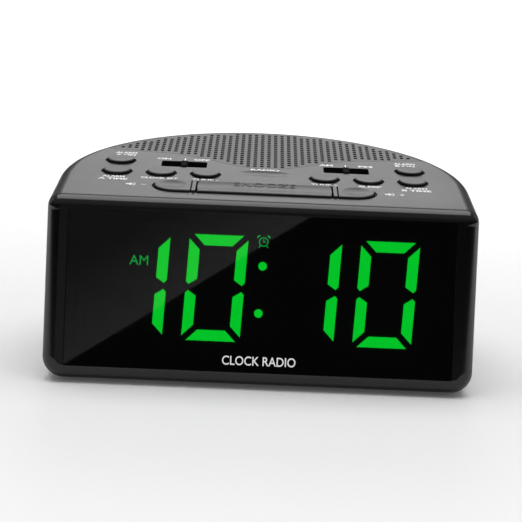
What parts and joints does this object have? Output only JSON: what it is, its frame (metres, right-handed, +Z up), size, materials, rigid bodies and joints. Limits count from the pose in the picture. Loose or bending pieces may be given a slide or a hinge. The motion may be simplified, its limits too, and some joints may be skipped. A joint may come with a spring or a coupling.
{
  "type": "clock radio",
  "caption": "D-shaped table clock radio with a leaning smoked window over seven-segment digits, a sloping key deck, slide switches and an upward-facing speaker under a perforated grille.",
  "frame": {"origin": "centre of the footprint, on the surface the feet stand on", "axes": "+X to the radio's left-to-right as seen from the front, +Y from the window to the round back, +Z up"},
  "size_m": [0.1412, 0.111, 0.072],
  "materials": {
    "case_plastic": "satin black moulded plastic",
    "key_plastic": "satin black moulded plastic",
    "grille_plastic": "fine-grained black moulded plastic",
    "slider_plastic": "matt black",
    "smoked_lens": "polished smoked acrylic",
    "digit_green": "translucent green",
    "black_module": "matt black",
    "foot_rubber": "matt",
    "zinc_screw": "zinc plated",
    "board_green": "solder-masked board",
    "component_black": "matt moulding",
    "component_metal": "plated",
    "speaker_cone_paper": "pressed paper",
    "ferrite_grey": "sintered",
    "coil_copper": "enamelled wire",
    "cell_wrap": "printed sleeve",
    "ribbon_grey": "flat cable"
  },
  "bodies": {
    "housing": {"front_bezel": "case_plastic", "display_window": "smoked_lens", "cabinet": "case_plastic", "speaker_grille": "grille_plastic", "base_cover": "case_plastic", "rubber_feet": "foot_rubber", "case_screws": "zinc_screw", "slide_switches": "component_metal", "tact_switches": "component_black", "key_board": "board_green", "key_board_screws": "zinc_screw", "speaker_basket": "component_metal", "speaker_magnet": "ferrite_grey", "speaker_cone": "speaker_cone_paper", "speaker_dust_cap": "speaker_cone_paper", "speaker_screws": "zinc_screw", "digit_module": "black_module", "digit_segments": "digit_green", "display_board": "board_green", "display_screws": "zinc_screw", "battery_cells": "cell_wrap", "battery_contacts": "component_metal", "main_board": "board_green", "board_screws": "zinc_screw", "dc_jack": "component_black", "dc_jack_pin": "component_metal", "circuit_chips": "component_black", "capacitors": "component_black", "crystal": "component_metal", "ferrite_rod": "ferrite_grey", "antenna_coil": "coil_copper", "antenna_holders": "component_black", "ribbon_cable": "ribbon_grey"},
    "alarm_a": {"alarm_a_key": "key_plastic", "alarm_a_plunger": "component_black"},
    "alarm_a_time": {"alarm_a_time_key": "key_plastic", "alarm_a_time_plunger": "component_black"},
    "clock": {"clock_key": "key_plastic", "clock_plunger": "component_black"},
    "tune_down": {"tune_down_key": "key_plastic", "tune_down_plunger": "component_black"},
    "tune_up": {"tune_up_key": "key_plastic", "tune_up_plunger": "component_black"},
    "sleep": {"sleep_key": "key_plastic", "sleep_plunger": "component_black"},
    "alarm_b_time": {"alarm_b_time_key": "key_plastic", "alarm_b_time_plunger": "component_black"},
    "alarm_b": {"alarm_b_key": "key_plastic", "alarm_b_plunger": "component_black"},
    "volume_down": {"volume_down_key": "key_plastic", "volume_down_plunger": "component_black"},
    "volume_up": {"volume_up_key": "key_plastic", "volume_up_plunger": "component_black"},
    "snooze": {"snooze_bar": "key_plastic", "snooze_plunger": "component_black"},
    "power_slider": {"power_knob": "slider_plastic"},
    "band_slider": {"band_knob": "slider_plastic"},
    "battery_hatch": {"battery_door": "case_plastic"}
  },
  "joints": [
    {"name": "alarm_a_press", "type": "slide", "parent": "housing", "child": "alarm_a", "axis": [0, 0.1167, -0.9932], "range_m": [0, 0.0006], "stiffness_N_per_m": 400, "springref_m": -0.001},
    {"name": "alarm_a_time_press", "type": "slide", "parent": "housing", "child": "alarm_a_time", "axis": [0, 0.1167, -0.9932], "range_m": [0, 0.0006], "stiffness_N_per_m": 400, "springref_m": -0.001},
    {"name": "clock_press", "type": "slide", "parent": "housing", "child": "clock", "axis": [0, 0.1167, -0.9932], "range_m": [0, 0.0006], "stiffness_N_per_m": 400, "springref_m": -0.001},
    {"name": "tune_down_press", "type": "slide", "parent": "housing", "child": "tune_down", "axis": [0, 0.1167, -0.9932], "range_m": [0, 0.0006], "stiffness_N_per_m": 400, "springref_m": -0.001},
    {"name": "tune_up_press", "type": "slide", "parent": "housing", "child": "tune_up", "axis": [0, 0.1167, -0.9932], "range_m": [0, 0.0006], "stiffness_N_per_m": 400, "springref_m": -0.001},
    {"name": "sleep_press", "type": "slide", "parent": "housing", "child": "sleep", "axis": [0, 0.1167, -0.9932], "range_m": [0, 0.0006], "stiffness_N_per_m": 400, "springref_m": -0.001},
    {"name": "alarm_b_time_press", "type": "slide", "parent": "housing", "child": "alarm_b_time", "axis": [0, 0.1167, -0.9932], "range_m": [0, 0.0006], "stiffness_N_per_m": 400, "springref_m": -0.001},
    {"name": "alarm_b_press", "type": "slide", "parent": "housing", "child": "alarm_b", "axis": [0, 0.1167, -0.9932], "range_m": [0, 0.0006], "stiffness_N_per_m": 400, "springref_m": -0.001},
    {"name": "volume_down_press", "type": "slide", "parent": "housing", "child": "volume_down", "axis": [0, 0.1167, -0.9932], "range_m": [0, 0.0006], "stiffness_N_per_m": 400, "springref_m": -0.001},
    {"name": "volume_up_press", "type": "slide", "parent": "housing", "child": "volume_up", "axis": [0, 0.1167, -0.9932], "range_m": [0, 0.0006], "stiffness_N_per_m": 400, "springref_m": -0.001},
    {"name": "snooze_press", "type": "slide", "parent": "housing", "child": "snooze", "axis": [0, 0.1167, -0.9932], "range_m": [0, 0.0006], "stiffness_N_per_m": 400, "springref_m": -0.001},
    {"name": "power_slide", "type": "slide", "parent": "housing", "child": "power_slider", "axis": [1, 0, 0], "range_m": [-0.004, 0.004]},
    {"name": "band_slide", "type": "slide", "parent": "housing", "child": "band_slider", "axis": [1, 0, 0], "range_m": [-0.004, 0.004]},
    {"name": "battery_door_hinge", "type": "hinge", "parent": "housing", "child": "battery_hatch", "pos_m": [0, -0.0138, 0.0019], "axis": [1, 0, 0], "range_deg": [0, 95]}
  ]
}
